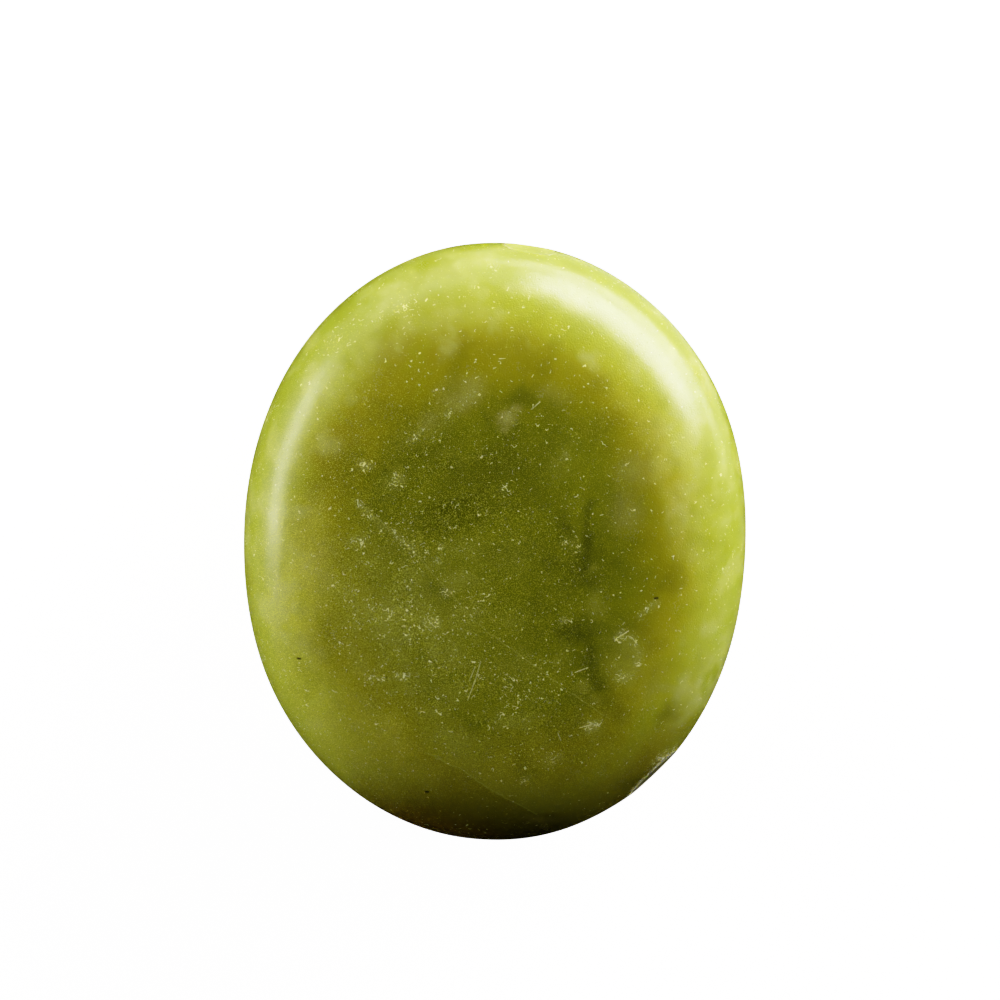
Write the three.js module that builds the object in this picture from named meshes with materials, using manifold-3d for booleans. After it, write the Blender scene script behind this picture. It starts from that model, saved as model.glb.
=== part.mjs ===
// A palm stone: one piece of green serpentine, ground by hand to an oval pillow and polished to a satin.
// Lengths are in millimetres and +Z is up. The stone lies on its flat spot at z = 0, with its long side along Y.

import * as THREE from "three";
import { mergeVertices } from "three/addons/utils/BufferGeometryUtils.js";
import Module from "manifold-3d";

// Size of the finished stone.
const LENGTH = 60;
const WIDTH = 49;
const THICKNESS = 18;

// The widest line runs round the stone half way up. The belly would reach a little deeper than that half,
// but its lowest part is ground away, which leaves the small flat spot that the stone rests on.
const WIDEST_LINE_HEIGHT = THICKNESS / 2;
const CROWN_HEIGHT = THICKNESS - WIDEST_LINE_HEIGHT;
const GROUND_OFF_BELLY = 0.2;
const BELLY_DEPTH = WIDEST_LINE_HEIGHT + GROUND_OFF_BELLY;

// Seen from above, the stone is almost an ellipse. An exponent of 2 is a true ellipse, and more is squarer.
const OUTLINE_EXPONENT = 2.06;

// Grinding by hand leaves the outline a little uneven: each wave has a number of crests round the stone,
// the height of a crest, and the direction of the first one in degrees from +X.
const OUTLINE_WAVES = [
  { crests: 2, height: 0.1, direction: 43 },
  { crests: 3, height: 0.035, direction: 57 },
  { crests: 4, height: 0.065, direction: 28 },
  { crests: 6, height: 0.05, direction: -28 },
];

// Flatness of the two faces: 2 is an ellipsoid, and more is a flatter face with a tighter shoulder round it.
// The shoulder of the upper face is softest towards the end at +Y and on the side at +X.
const FACE_FLATNESS = 4.9;
const SOFTER_TOWARDS_X = 0.4;
const SOFTER_TOWARDS_Y = 0.6;
const BELLY_FLATNESS = 4;

// The rim is rounded from face to face with about this radius.
const RIM_ROUNDING = 7;

// Shallow scars where a flake has come off the rim. A flake is the part of a wide, thin lens that lies inside
// the rim. The direction is in degrees from +X, and the lean is how many degrees the scar faces up.
const RIM_CHIPS = [
  { direction: 83.6, lean: 0, depth: 0.3, lensThickness: 1.6, lensLength: 8.5, lensHeight: 15 },
  { direction: -55.5, lean: 22, depth: 0.27, lensThickness: 2, lensLength: 40, lensHeight: 15 },
];

// Facets: how many round the stone, and how many from the crown down to the belly.
const FACETS_ROUND = 96;
const FACETS_DOWN = 30;
const LENS_FACETS_ROUND = 48;
const LENS_FACETS_DOWN = 32;

const wasm = await Module();
wasm.setup();

// A closed mesh as a solid that can be cut.
function solidOf(geometry) {
  const bare = geometry.clone();
  bare.deleteAttribute("normal");
  bare.deleteAttribute("uv");
  const merged = mergeVertices(bare, 1e-5);
  return new wasm.Manifold(
    new wasm.Mesh({
      numProp: 3,
      vertProperties: new Float32Array(merged.attributes.position.array),
      triVerts: new Uint32Array(merged.index.array),
    }),
  );
}

// A cut solid as a mesh again.
function geometryOf(solid) {
  const mesh = solid.getMesh();
  const geometry = new THREE.BufferGeometry();
  geometry.setAttribute("position", new THREE.BufferAttribute(new Float32Array(mesh.vertProperties), 3));
  geometry.setIndex(new THREE.BufferAttribute(new Uint32Array(mesh.triVerts), 1));
  geometry.computeVertexNormals();
  return geometry;
}

// Distance of the outline from the stone's middle, in the direction of an angle from +X.
function outlineRadius(angle) {
  const across = Math.abs(Math.cos(angle)) / (WIDTH / 2);
  const along = Math.abs(Math.sin(angle)) / (LENGTH / 2);
  const oval = (across ** OUTLINE_EXPONENT + along ** OUTLINE_EXPONENT) ** (-1 / OUTLINE_EXPONENT);
  return OUTLINE_WAVES.reduce((radius, wave) => {
    const fromCrest = angle - THREE.MathUtils.degToRad(wave.direction);
    return radius + wave.height * Math.cos(wave.crests * fromCrest);
  }, oval);
}

// The direction square to the outline, which differs a little from the direction to the stone's middle.
function outwardAngle(angle) {
  const step = 0.001;
  const before = outlineRadius(angle - step);
  const after = outlineRadius(angle + step);
  const alongX = after * Math.cos(angle + step) - before * Math.cos(angle - step);
  const alongY = after * Math.sin(angle + step) - before * Math.sin(angle - step);
  return Math.atan2(-alongX, alongY);
}

// Height of a face above or below the widest line. The share is 0 in the middle and 1 at the outline.
function faceHeight(share, fullHeight, flatness) {
  return fullHeight * Math.sqrt(Math.max(0, 1 - share ** flatness));
}

// The stone before its flat spot and its chips: a unit ball whose points are moved out to the stone's surface.
function pillow() {
  const geometry = new THREE.SphereGeometry(1, FACETS_ROUND, FACETS_DOWN).rotateX(Math.PI / 2);
  const points = geometry.attributes.position;
  for (let i = 0; i < points.count; i += 1) {
    const share = Math.min(1, Math.hypot(points.getX(i), points.getY(i)));
    const angle = Math.atan2(points.getY(i), points.getX(i));
    const softer = SOFTER_TOWARDS_X * Math.cos(angle) + SOFTER_TOWARDS_Y * Math.sin(angle);
    const rise =
      points.getZ(i) > 0
        ? faceHeight(share, CROWN_HEIGHT, FACE_FLATNESS - softer)
        : -faceHeight(share, BELLY_DEPTH, BELLY_FLATNESS);
    const radius = share * outlineRadius(angle);
    points.setXYZ(i, radius * Math.cos(angle), radius * Math.sin(angle), WIDEST_LINE_HEIGHT + rise);
  }
  return fitToSize(geometry);
}

// The waves change the outline's reach by about a tenth of a millimetre. This brings it back to its size.
function fitToSize(geometry) {
  geometry.computeBoundingBox();
  const size = geometry.boundingBox.getSize(new THREE.Vector3());
  const centre = geometry.boundingBox.getCenter(new THREE.Vector3());
  return geometry.translate(-centre.x, -centre.y, 0).scale(WIDTH / size.x, LENGTH / size.y, 1);
}

// What is ground off the belly: a block whose top face is the plane of the flat spot.
function groundOff() {
  return new THREE.BoxGeometry(WIDTH, LENGTH, WIDTH).translate(0, 0, -WIDTH / 2);
}

// The lens that takes a flake off the rim. It is pushed out from the middle of the rim's rounding,
// square to the outline and up by the lean, until it bites no deeper than the scar.
function lens({ direction, lean, depth, lensThickness, lensLength, lensHeight }) {
  const angle = THREE.MathUtils.degToRad(direction);
  const outward = outwardAngle(angle);
  const up = THREE.MathUtils.degToRad(lean);
  const push = RIM_ROUNDING + lensThickness / 2 - depth;
  const sideways = push * Math.cos(up) - RIM_ROUNDING;
  return new THREE.SphereGeometry(1, LENS_FACETS_ROUND, LENS_FACETS_DOWN)
    .rotateX(Math.PI / 2)
    .scale(lensThickness / 2, lensLength / 2, lensHeight / 2)
    .rotateY(-up)
    .rotateZ(outward)
    .translate(
      outlineRadius(angle) * Math.cos(angle) + sideways * Math.cos(outward),
      outlineRadius(angle) * Math.sin(angle) + sideways * Math.sin(outward),
      WIDEST_LINE_HEIGHT + push * Math.sin(up),
    );
}

function palmStone() {
  let solid = solidOf(pillow()).subtract(solidOf(groundOff()));
  for (const chip of RIM_CHIPS) {
    solid = solid.subtract(solidOf(lens(chip)));
  }
  const serpentine = new THREE.MeshStandardMaterial({ color: 0x7d8a22, roughness: 0.35, metalness: 0 });
  const mesh = new THREE.Mesh(geometryOf(solid), serpentine);
  mesh.name = "palm_stone";
  return mesh;
}

const part = new THREE.Group();
part.add(palmStone());

export default part;
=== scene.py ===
# %% [markdown]
# A palm stone of green serpentine. It is one piece of stone, ground by hand to a flat oval pillow
# and polished to a satin, with two small flakes off its rim.
# The steps: load the measured solid, make a finer stone of the same size, grind it a little uneven,
# break the two flakes off, paint the stone with nodes, and set it on a pale floor in studio light.

# %% Tools
import math

import bmesh
import bpy
import numpy as np
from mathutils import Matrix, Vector, kdtree, noise


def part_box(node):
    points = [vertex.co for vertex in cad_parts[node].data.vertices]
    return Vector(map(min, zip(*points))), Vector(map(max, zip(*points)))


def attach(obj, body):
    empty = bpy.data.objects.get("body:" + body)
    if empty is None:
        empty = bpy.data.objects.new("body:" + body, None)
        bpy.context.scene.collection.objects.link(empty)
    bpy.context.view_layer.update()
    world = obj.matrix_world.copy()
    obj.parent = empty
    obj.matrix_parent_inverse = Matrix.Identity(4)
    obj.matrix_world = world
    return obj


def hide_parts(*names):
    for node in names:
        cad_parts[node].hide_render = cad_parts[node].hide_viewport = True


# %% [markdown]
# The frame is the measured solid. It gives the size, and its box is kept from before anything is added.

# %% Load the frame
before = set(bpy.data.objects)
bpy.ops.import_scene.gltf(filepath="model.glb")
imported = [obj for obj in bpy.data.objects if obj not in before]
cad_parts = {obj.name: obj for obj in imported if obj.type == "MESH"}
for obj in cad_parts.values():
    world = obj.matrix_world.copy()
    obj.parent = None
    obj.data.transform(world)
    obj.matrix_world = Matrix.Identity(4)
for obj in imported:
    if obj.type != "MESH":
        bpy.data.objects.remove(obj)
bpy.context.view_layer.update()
lowest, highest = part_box("palm_stone")
MM = 0.001
LENGTH = (highest.y - lowest.y) / MM
WIDTH = (highest.x - lowest.x) / MM
THICKNESS = (highest.z - lowest.z) / MM
print(f"the solid is {WIDTH:.2f} x {LENGTH:.2f} x {THICKNESS:.2f} mm")

# %% [markdown]
# Seen from above, a palm stone is almost an ellipse, because it is turned against a grinding wheel by hand.
# A squarer ellipse with a few low waves gives that line. The waves are tenths of a millimetre.

# %% The outline seen from above
OUTLINE_EXPONENT = 2.06
OUTLINE_WAVES = [(2, 0.1, 43), (3, 0.035, 57), (4, 0.065, 28), (6, 0.05, -28)]


def outline_radius(angle):
    """Millimetres from the stone's middle to its outline, in the direction of an angle from +X."""
    across = abs(np.cos(angle)) / (WIDTH / 2)
    along = abs(np.sin(angle)) / (LENGTH / 2)
    radius = (across**OUTLINE_EXPONENT + along**OUTLINE_EXPONENT) ** (-1 / OUTLINE_EXPONENT)
    for crests, height, direction in OUTLINE_WAVES:
        radius = radius + height * np.cos(crests * (angle - math.radians(direction)))
    return radius


print(f"the outline is {outline_radius(0.0):.2f} mm from the middle at +X, {outline_radius(math.pi / 2):.2f} at +Y")

# %% [markdown]
# The two faces are nearly flat and turn down to a round rim. One formula makes both: an ellipse raised to a
# flatness. The share is 0 in the middle of the face and 1 on the outline. Two is a lens, four a flat pillow.

# %% The height of the faces
WIDEST_LINE_HEIGHT = THICKNESS / 2
CROWN_HEIGHT = THICKNESS / 2
BELLY_DEPTH = THICKNESS / 2 + 0.2
FACE_FLATNESS = 4.9
SOFTER_TOWARDS_X = 0.4
SOFTER_TOWARDS_Y = 0.6
BELLY_FLATNESS = 4


def stone_height(share, angle, upper):
    """Height in millimetres of a point on the upper or the lower face."""
    softer = SOFTER_TOWARDS_X * np.cos(angle) + SOFTER_TOWARDS_Y * np.sin(angle)
    crown = CROWN_HEIGHT * np.sqrt(np.maximum(0, 1 - share ** (FACE_FLATNESS - softer)))
    belly = -BELLY_DEPTH * np.sqrt(np.maximum(0, 1 - share**BELLY_FLATNESS))
    return WIDEST_LINE_HEIGHT + np.where(upper, crown, belly)


print(f"half way out, the upper face has dropped {THICKNESS - stone_height(0.5, 0.0, True):.2f} mm")

# %% [markdown]
# A ball made from a cube has no poles, so its squares stay even when it is pressed flat.
# Each face of the cube is cut into a grid, the grid is bent so that all squares cover the same angle,
# and every point is pulled in to a distance of one from the middle.

# %% A ball without poles
def ball(name, cells):
    """A mesh object: a cube of cells x cells squares a side, blown up to a ball of radius one."""
    mesh = bpy.data.meshes.new(name)
    shape = bmesh.new()
    bmesh.ops.create_cube(shape, size=2)
    bmesh.ops.subdivide_edges(shape, edges=shape.edges[:], cuts=cells - 1, use_grid_fill=True)
    shape.to_mesh(mesh)
    shape.free()
    points = np.tan(read_points(mesh) * math.pi / 4)
    write_points(mesh, points / np.linalg.norm(points, axis=1, keepdims=True))
    piece = bpy.data.objects.new(name, mesh)
    bpy.context.scene.collection.objects.link(piece)
    return piece


def read_points(mesh):
    points = np.empty(len(mesh.vertices) * 3)
    mesh.vertices.foreach_get("co", points)
    return points.reshape(-1, 3)


def write_points(mesh, points):
    mesh.vertices.foreach_set("co", points.ravel())
    mesh.update()


def outward(mesh):
    """The direction square to the surface at every point."""
    normals = np.empty(len(mesh.vertices) * 3)
    mesh.vertex_normals.foreach_get("vector", normals)
    return normals.reshape(-1, 3)


STONE_CELLS = 118
stone = ball("palm_stone_polished", STONE_CELLS)
print(f"the ball has {len(stone.data.polygons)} squares")

# %% [markdown]
# Pressing the ball into the stone's shape: each point keeps its direction, its distance from the upright
# axis becomes the share of the outline, and its height comes from the formula of the faces.

# %% Press the ball into the pillow
unit = read_points(stone.data)
share = np.minimum(1, np.hypot(unit[:, 0], unit[:, 1]))
angle = np.arctan2(unit[:, 1], unit[:, 0])
reach = share * outline_radius(angle)
pillow = np.column_stack(
    [reach * np.cos(angle), reach * np.sin(angle), stone_height(share, angle, unit[:, 2] > 0)]
)
write_points(stone.data, pillow * MM)
print(f"the pillow is {np.ptp(pillow[:, 0]):.2f} x {np.ptp(pillow[:, 1]):.2f} x {np.ptp(pillow[:, 2]):.2f} mm")

# %% [markdown]
# A hand-held stone never comes off the wheel perfectly even. Broad, shallow facets a few hundredths of a
# millimetre deep hardly change the outline, but they make the edges of a reflection wander as they do on
# real polished stone. Smooth noise moves the points along their normals. One longer flat lies on the rim
# where the stone was held down longest.

# %% Grind it by hand
UNEVENNESS = [(14, 0.05), (6, 0.016)]
RIM_FLAT_DIRECTION = -69
RIM_FLAT_SPREAD = 9
RIM_FLAT_DEPTH = 0.09


def unevenness(points):
    """Millimetres to move each point in or out, from smooth noise of two sizes."""
    moves = np.zeros(len(points))
    for size, depth in UNEVENNESS:
        moves += depth * np.array([noise.noise(Vector(point) / (size * MM)) for point in points])
    return moves


from_flat = np.degrees(angle) - RIM_FLAT_DIRECTION
rim_flat = RIM_FLAT_DEPTH * np.exp(-((from_flat / RIM_FLAT_SPREAD) ** 2)) * share**8
grinding = unevenness(pillow * MM) - rim_flat
ground = pillow * MM + outward(stone.data) * grinding[:, None] * MM
write_points(stone.data, ground)
print(f"the grinding moves points by {grinding.min():.3f} to {grinding.max():.3f} mm")

# %% [markdown]
# The stone rests on a small flat spot. Everything below the floor is ground off level, and then the piece
# is brought to the exact size of the solid, a few thousandths of a millimetre inside its box.

# %% Flat spot and size
INSIDE = 0.004
ground = read_points(stone.data)
target = np.array([WIDTH, LENGTH]) - 2 * INSIDE
middle = (ground[:, :2].max(0) + ground[:, :2].min(0)) / 2
ground[:, :2] = (ground[:, :2] - middle) * target * MM / np.ptp(ground[:, :2], axis=0)
ground[:, 2] *= (THICKNESS - INSIDE) * MM / ground[:, 2].max()
flat_spot = ground[:, 2] < INSIDE * MM
ground[:, 2] = np.maximum(ground[:, 2], INSIDE * MM)
write_points(stone.data, ground)
spot = ground[flat_spot] / MM
print(f"the flat spot is {np.ptp(spot[:, 0]):.1f} x {np.ptp(spot[:, 1]):.1f} mm")

# %% [markdown]
# Two flakes have come off the rim: a short one at the far end, and a long, thin one near the lower right.
# A flake of such a fine-grained stone leaves a shallow, slightly wavy hollow. It could be sculpted, but a cut
# is truer: a thin lens is laid against the rim, its skin is made wavy, and what is inside it is taken away.

# %% The lenses that take the flakes off
RIM_ROUNDING = 7
LENS_CELLS = 64
FLAKES = {
    "far_end": dict(direction=83.6, lean=0, depth=0.3, thickness=1.6, length=8.5, height=15),
    "lower_right": dict(direction=-55.5, lean=20, depth=0.18, thickness=2, length=40, height=15),
}
SCAR_WAVES = [(2.4, 0.035), (0.8, 0.014)]


def outward_angle(direction):
    """The direction square to the outline, in radians."""
    step = 0.001
    ends = [outline_radius(direction + s) * np.array([math.cos(direction + s), math.sin(direction + s)])
            for s in (-step, step)]
    along = ends[1] - ends[0]
    return math.atan2(-along[0], along[1])


def turned(points, axis, turn):
    """Points turned about the Y axis or the Z axis."""
    c, s = math.cos(turn), math.sin(turn)
    x, y, z = points.T
    if axis == "Y":
        return np.column_stack([c * x + s * z, y, c * z - s * x])
    return np.column_stack([c * x - s * y, s * x + c * y, z])


def lens(name, direction, lean, depth, thickness, length, height):
    """A thin wavy lens in place at the rim, in metres."""
    piece = ball(name, LENS_CELLS)
    skin = read_points(piece.data)
    waves = sum(deep * np.array([noise.noise(Vector(p * [1, length / 2, height / 2]) / size) for p in skin])
                for size, deep in SCAR_WAVES)
    points = skin * [thickness / 2, length / 2, height / 2]
    points[:, 0] += waves
    at, up = math.radians(direction), math.radians(lean)
    out = outward_angle(at)
    push = RIM_ROUNDING + thickness / 2 - depth
    sideways = push * math.cos(up) - RIM_ROUNDING
    radius = outline_radius(at)
    place = [radius * math.cos(at) + sideways * math.cos(out),
             radius * math.sin(at) + sideways * math.sin(out),
             WIDEST_LINE_HEIGHT + push * math.sin(up)]
    points = turned(turned(points, "Y", -up), "Z", out) + place
    write_points(piece.data, points * MM)
    return piece


lenses = [lens("lens_" + name, **sizes) for name, sizes in FLAKES.items()]
print(f"{len(lenses)} lenses, {[round(o.dimensions.y / MM, 1) for o in lenses]} mm along Y")

# %% [markdown]
# The cut is a Boolean difference. The stone has two finishes from here on: polished serpentine, and
# freshly broken serpentine. The lenses carry the second one, so the cut hands it to the scars.

# %% Break the flakes off
polished = bpy.data.materials.new("polished_serpentine")
broken = bpy.data.materials.new("broken_serpentine")
for piece in [stone, *lenses]:
    piece.data.materials.append(polished)
    piece.data.materials.append(broken)
for piece in lenses:
    piece.data.polygons.foreach_set("material_index", [1] * len(piece.data.polygons))
    cut = stone.modifiers.new(piece.name, "BOOLEAN")
    cut.operation = "DIFFERENCE"
    cut.object = piece
    cut.solver = "EXACT"
    cut.material_mode = "INDEX"
bpy.context.view_layer.update()
cut_stone = bpy.data.meshes.new_from_object(stone.evaluated_get(bpy.context.evaluated_depsgraph_get()))
stone.modifiers.clear()
stone.data = cut_stone
for piece in lenses:
    bpy.data.objects.remove(piece)
scar_faces = sum(face.material_index for face in cut_stone.polygons)
print(f"{scar_faces} of {len(cut_stone.polygons)} faces are broken stone")

# %% [markdown]
# A polished surface is shaded smooth, but the lip where a scar meets the polish is sharp. That lip is also
# crushed to a whitish line on the real stone. For the paint to find it, every point near a scar gets its
# distance from the lip as an attribute of the mesh.

# %% Smooth skin, sharp lips
FAR_FROM_LIP = 9.0


def keep_on_mesh(mesh, name, values):
    """Keeps one number for every point of the mesh, for the paint to read."""
    mesh.attributes.new(name, "FLOAT", "POINT").data.foreach_set("value", np.asarray(values, dtype=np.float32))


def lip_edges(mesh):
    """The edges that have polished stone on one side and broken stone on the other."""
    finishes = {}
    for face in mesh.polygons:
        for key in face.edge_keys:
            finishes.setdefault(key, set()).add(face.material_index)
    return [edge for edge in mesh.edges if len(finishes[edge.key]) > 1]


cut_stone.shade_smooth()
lip = lip_edges(cut_stone)
lip_points = kdtree.KDTree(len(lip))
for number, edge in enumerate(lip):
    edge.use_edge_sharp = True
    ends = [cut_stone.vertices[v].co for v in edge.vertices]
    lip_points.insert((ends[0] + ends[1]) / 2, number)
lip_points.balance()
on_lip = {v for edge in lip for v in edge.vertices}
lip_distance = [0.0 if v.index in on_lip else min(FAR_FROM_LIP, lip_points.find(v.co)[2] / MM)
                for v in cut_stone.vertices]
keep_on_mesh(cut_stone, "lip_distance", lip_distance)
print(f"{len(lip)} lip edges, {sum(len(face.vertices) - 2 for face in cut_stone.polygons)} triangles in all")

# %% [markdown]
# The markings of this stone. What is broader than a millimetre is worked out once for every point of the
# fine mesh and kept on it: that is quicker than a node for each mark. A patch is an oval in plan: its
# middle, half length and half width in millimetres, its turn in degrees from +X, and its strength.
# They are placed after the real stone. First the dark ones: a vein, smudges, and cloudy shade.

# %% Dark patches
DARK_PATCHES = {
    "vein_shade": (8.2, 1.0, 4.8, 2.8, 80, 0.62),
    "vein_twin": (6.5, 4.2, 2.4, 1.2, 100, 0.60),
    "vein_link": (5.8, 0.6, 2.2, 1.5, -10, 0.48),
    "vein_belly": (8.4, -6.2, 3.4, 1.9, -12, 0.88),
    "vein_bottom_shade": (9.4, -9.6, 4.6, 2.0, 95, 0.22),
    "vein_foot": (7.6, -13.0, 2.2, 1.2, -20, 0.40),
    "vein_toe": (11.0, -14.3, 3.4, 1.6, -38, 0.36),
    "right_of_vein": (13.0, 0.0, 2.6, 1.6, -28, 0.22),
    "brown_spot": (13.9, 6.7, 1.2, 0.8, 60, 0.22),
    "smudge": (2.8, 17.0, 1.8, 1.1, -40, 0.62),
    "left_of_cloud": (-0.4, 15.6, 1.6, 0.7, -75, 0.45),
    "below_cloud": (1.4, 12.2, 3.0, 1.5, 80, 0.45),
    "upper_shade": (0.0, 9.8, 7.4, 4.6, 0, 0.46),
    "middle_left": (-4.0, 6.2, 5.8, 3.6, 12, 0.54),
    "left": (-13.8, 10.4, 4.0, 2.6, 60, 0.42),
    "right": (10.4, 12.8, 3.0, 2.6, 40, 0.30),
    "middle_right": (4.4, 7.6, 4.6, 2.6, -10, 0.30),
    "upper_left_shade": (-7.4, 11.6, 5.6, 3.8, 45, 0.42),
    "above_bruise": (-7.6, 1.8, 3.0, 2.2, 0, 0.42),
    "dash": (-5.3, -1.5, 2.0, 0.8, -48, 0.60),
    "short_dash": (-2.2, -5.0, 1.2, 0.7, 10, 0.30),
    "lower_left": (-16.0, -6.4, 3.0, 1.6, -60, 0.25),
    "low_left": (-11.8, -14.4, 3.8, 1.6, -50, 0.20),
    "below_vein": (8.0, -18.6, 5.0, 2.4, 8, 0.22),
    "below_middle": (2.6, -19.8, 2.6, 1.6, -20, 0.38),
    "lower_right": (16.8, -15.4, 2.6, 1.6, 50, 0.40),
    "below_long_flake": (13.2, -22.6, 3.4, 1.6, 35, 0.42),
}
DARK_STROKES = {
    "vein_head": (0.50, 0.60, [(9.3, 6.7), (8.9, 5.9), (8.8, 4.9), (8.85, 3.4)]),
    "vein_core": (1.00, 0.88, [(8.9, 3.2), (8.95, 2.0), (8.7, 1.0), (8.5, 0.2)]),
    "vein_knee": (1.10, 0.62, [(8.3, 0.2), (8.2, -0.8), (9.3, -1.2)]),
    "vein_twin": (0.90, 0.38, [(6.3, 5.6), (6.6, 4.3), (6.5, 3.0)]),
    "vein_tail": (1.05, 0.70, [(9.2, -7.2), (9.3, -9.2), (9.5, -10.6), (10.0, -11.6)]),
    "smudge_tail": (0.55, 0.42, [(3.1, 16.9), (3.7, 16.2)]),
    "cloud_foot": (0.60, 0.45, [(2.2, 14.3), (1.7, 13.2), (0.6, 13.1)]),
}
print(f"{len(DARK_PATCHES)} dark patches, {len(DARK_STROKES)} dark strokes")

# %% [markdown]
# Pale clouds are of two kinds. The sage ones are full of tiny crystals, and the beige ones are milky. Where
# the surface has been bruised it sparkles with many small white grains.

# %% Pale clouds and bruises
SAGE_CLOUDS = {
    "lower_left": (-9.0, -4.6, 13.0, 9.0, -55, 0.60),
    "wisp": (-7.0, 13.6, 4.6, 1.6, 42, 0.32),
    "leaf": (-3.2, 11.6, 2.2, 0.9, -5, 0.32),
    "left": (-9.8, 8.6, 2.0, 1.4, 40, 0.42),
    "far_left": (-12.4, 1.8, 3.2, 2.2, 60, 0.45),
    "middle": (-2.6, 1.8, 3.4, 1.8, 10, 0.36),
    "centre": (1.8, 1.2, 3.2, 2.2, 0, 0.34),
    "below_centre": (1.4, -4.6, 2.4, 2.0, 0, 0.26),
    "above_dash": (-4.0, -1.0, 2.8, 1.7, 10, 0.80),
    "bruise": (-6.6, -5.2, 3.2, 1.6, -15, 0.60),
    "under_bruise": (-8.8, -8.0, 3.6, 2.0, 20, 0.56),
    "low_left": (-9.6, -10.8, 4.0, 2.2, 5, 0.58),
    "left_of_scratches": (-4.6, -12.4, 2.8, 2.2, 0, 0.64),
    "below_low_left": (-6.2, -14.4, 2.6, 1.4, -10, 0.50),
    "above_vein_belly": (10.0, -4.2, 1.5, 2.0, 20, 0.45),
    "beside_vein_tail": (6.8, -8.8, 2.0, 1.4, 60, 0.55),
    "right_of_vein": (12.6, -8.8, 3.2, 3.8, 5, 0.70),
    "vein_ball": (9.3, 0.0, 0.8, 0.7, 0, 0.60),
    "vein_foot_ball": (9.3, -13.4, 1.0, 0.8, 0, 0.65),
    "vein_foot_haze": (8.4, -12.2, 1.4, 0.8, 40, 0.45),
    "scratched": (9.4, -16.4, 2.4, 1.4, -10, 0.50),
    "low_middle": (1.4, -15.0, 3.0, 1.4, 0, 0.55),
    "below_middle": (1.8, -8.8, 3.2, 2.2, -20, 0.38),
    "low": (3.4, -17.6, 2.6, 1.4, -20, 0.26),
    "above_crack": (-3.2, -17.8, 5.4, 2.6, -28, 0.60),
    "near_top": (6.8, 10.6, 2.6, 1.6, 30, 0.25),
    "lower_right": (15.4, -11.8, 2.6, 1.8, 50, 0.44),
}
BEIGE_CLOUDS = {
    "grey_cloud": (1.25, 14.9, 1.3, 1.0, 0, 0.72),
    "grey_cloud_foot": (0.9, 13.9, 0.8, 0.6, -60, 0.50),
    "grey_cloud_head": (2.1, 15.9, 0.9, 0.6, 20, 0.60),
    "top": (-3.3, 17.2, 3.2, 2.2, 25, 0.50),
    "left_of_top": (-5.4, 15.0, 2.8, 1.4, 35, 0.30),
    "top_right": (5.6, 17.2, 2.2, 1.2, -15, 0.26),
    "right": (13.4, 9.6, 2.8, 2.6, 10, 0.28),
    "beside_vein": (12.3, 5.8, 2.6, 3.0, 10, 0.30),
    "left_rim": (-17.2, 0.4, 3.4, 2.4, 80, 0.45),
    "low_end": (4.2, -26.2, 2.0, 0.8, -10, 0.40),
}
BRUISES = {
    "brightest": (-6.2, -5.1, 1.7, 1.0, -10, 1.0),
    "trail": (-8.4, -6.6, 2.2, 1.0, 25, 0.75),
    "above": (-4.4, -2.2, 2.0, 1.0, 10, 0.80),
    "lone": (-5.2, 2.6, 0.8, 0.6, -40, 1.0),
    "left": (-9.3, 8.6, 1.5, 1.1, 20, 0.90),
    "far_left": (-12.2, 10.2, 1.2, 0.8, 10, 0.85),
    "left_line": (-12.2, 5.8, 1.4, 0.8, -40, 0.70),
    "left_field": (-13.4, 2.8, 1.6, 1.4, 0, 0.70),
    "low_left": (-8.9, -10.6, 1.4, 0.8, 10, 1.0),
    "low_left_line": (-11.4, -10.8, 1.8, 0.7, 0, 0.85),
    "lower": (-10.2, -12.4, 1.4, 0.8, -20, 0.70),
    "right": (12.1, -6.6, 1.3, 0.8, 30, 0.85),
    "right_low": (12.2, -10.9, 1.2, 0.9, 0, 0.95),
    "scratched": (9.3, -15.7, 1.7, 0.8, 5, 1.0),
    "above_right": (6.7, 11.2, 0.8, 0.7, 0, 0.75),
    "middle": (0.9, 8.0, 0.9, 0.7, -30, 0.60),
    "vein_grains": (6.6, 2.8, 2.0, 1.1, 0, 0.30),
    "vein_white": (6.8, -5.1, 0.6, 0.5, 0, 1.0),
    "low_grains": (2.9, -21.3, 1.0, 0.8, 30, 0.80),
    "low_right_grains": (5.6, -19.2, 1.8, 1.2, 30, 0.60),
    "wisp_grains": (-4.2, 15.6, 1.6, 0.8, 40, 0.75),
    "wisp_tail": (-7.4, 13.2, 1.8, 0.8, 40, 0.70),
    "upper_left": (-8.8, 25.0, 3.4, 1.6, 28, 0.55),
    "upper_left_end": (-15.0, 21.4, 2.6, 1.6, 50, 0.45),
    "far_end": (-2.0, 26.8, 2.4, 1.0, 0, 0.35),
    "flake_end": (10.5, 27.2, 3.0, 1.0, -20, 0.40),
    "long_flake": (16.7, -20.5, 2.4, 1.5, 42, 1.3),
    "field": (-8.0, -5.0, 15.0, 11.0, -55, 0.32),
    "low_field": (3.0, -13.0, 9.0, 6.5, 0, 0.25),
}
GRAIN_CHAINS = [
    [(13.9, -4.6), (15.6, -3.3)],
    [(13.1, -6.7), (14.0, -8.3), (13.8, -9.6)],
    [(-13.0, 6.6), (-10.4, 4.4), (-7.9, 2.1)],
]
print(f"{len(SAGE_CLOUDS)} sage and {len(BEIGE_CLOUDS)} beige clouds, {len(BRUISES)} bruises")
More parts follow.
